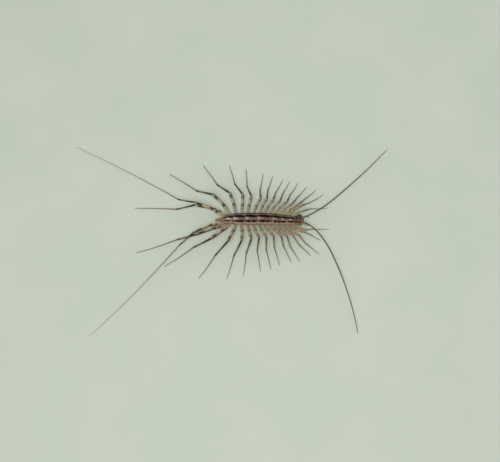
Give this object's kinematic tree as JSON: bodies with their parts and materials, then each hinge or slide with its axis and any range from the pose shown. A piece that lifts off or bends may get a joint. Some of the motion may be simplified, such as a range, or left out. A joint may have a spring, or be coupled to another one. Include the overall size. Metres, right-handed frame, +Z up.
{
  "type": "house centipede model",
  "caption": "Life-size still model of a house centipede, flat segmented body with domed back plates and long banded legs spread on the floor.",
  "frame": {"origin": "centre of the whole spread of legs and feelers, on the floor", "axes": "+X forward towards the head, +Y the animal's left, +Z up from the floor"},
  "size_m": [0.109, 0.0664, 0.0072],
  "materials": {
    "shell": "satin brown chitin with three dark lengthwise stripes",
    "leg": "satin olive-tan chitin with dark bands at the joints",
    "feeler": "fine-haired dark olive brown",
    "eye": "glossy near-black faceted eye",
    "claw": "glossy amber brown chitin"
  },
  "bodies": {
    "root": {"head": "shell", "trunk_front": "shell", "trunk_middle": "shell", "trunk_rear": "shell", "tail": "shell", "eye_left": "eye", "claw_left": "claw", "palp_left": "leg", "antenna_left": "feeler", "eye_right": "eye", "claw_right": "claw", "palp_right": "leg", "antenna_right": "feeler", "leg_left_01": "leg", "leg_left_02": "leg", "leg_left_03": "leg", "leg_left_04": "leg", "leg_left_05": "leg", "leg_left_06": "leg", "leg_left_07": "leg", "leg_left_08": "leg", "leg_left_09": "leg", "leg_left_10": "leg", "leg_left_11": "leg", "leg_left_12": "leg", "leg_left_13": "leg", "leg_left_14": "leg", "leg_left_15": "leg", "leg_right_01": "leg", "leg_right_02": "leg", "leg_right_03": "leg", "leg_right_04": "leg", "leg_right_05": "leg", "leg_right_06": "leg", "leg_right_07": "leg", "leg_right_08": "leg", "leg_right_09": "leg", "leg_right_10": "leg", "leg_right_11": "leg", "leg_right_12": "leg", "leg_right_13": "leg", "leg_right_14": "leg", "leg_right_15": "leg"}
  },
  "joints": []
}
